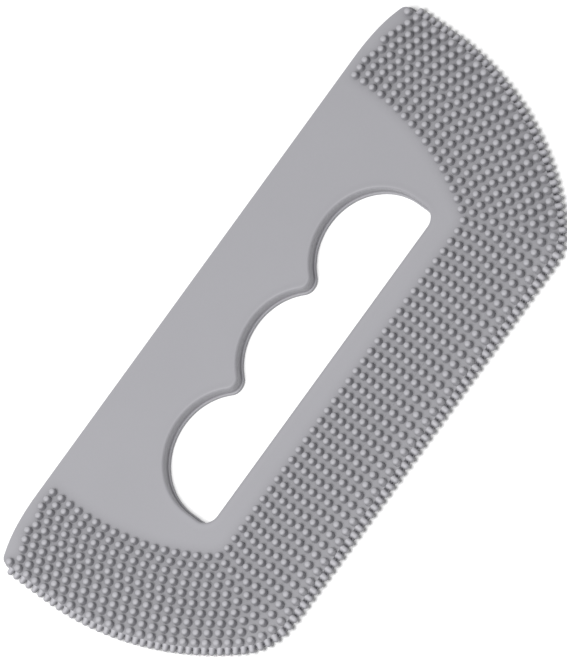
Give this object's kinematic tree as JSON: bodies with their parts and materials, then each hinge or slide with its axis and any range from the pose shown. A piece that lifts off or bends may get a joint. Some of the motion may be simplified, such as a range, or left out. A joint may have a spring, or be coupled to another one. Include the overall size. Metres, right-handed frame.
{
  "type": "silicone grooming pad",
  "caption": "Flat moulded silicone grooming pad with a scalloped finger slot, U-shaped rows of domed nubs and a fringe of round-ended teeth along its edge",
  "frame": {"origin": "centre of the pad's box on its flat back face", "axes": "+X along the pad's length, +Y from the nubbed long side to the smooth spine, +Z out of the back towards the nubs"},
  "size_m": [0.1496, 0.0688, 0.0045],
  "materials": {
    "silicone": "matte grey silicone"
  },
  "bodies": {
    "root": {"backing_layer": "silicone", "pad_body": "silicone", "nub_row_01": "silicone", "nub_row_02": "silicone", "nub_row_03": "silicone", "nub_row_04": "silicone", "nub_row_05": "silicone", "nub_row_06": "silicone", "nub_row_07": "silicone", "nub_row_08": "silicone", "nub_row_09": "silicone", "nub_row_10": "silicone", "edge_teeth_left_end": "silicone", "edge_teeth_long_side": "silicone", "edge_teeth_right_end": "silicone"}
  },
  "joints": []
}
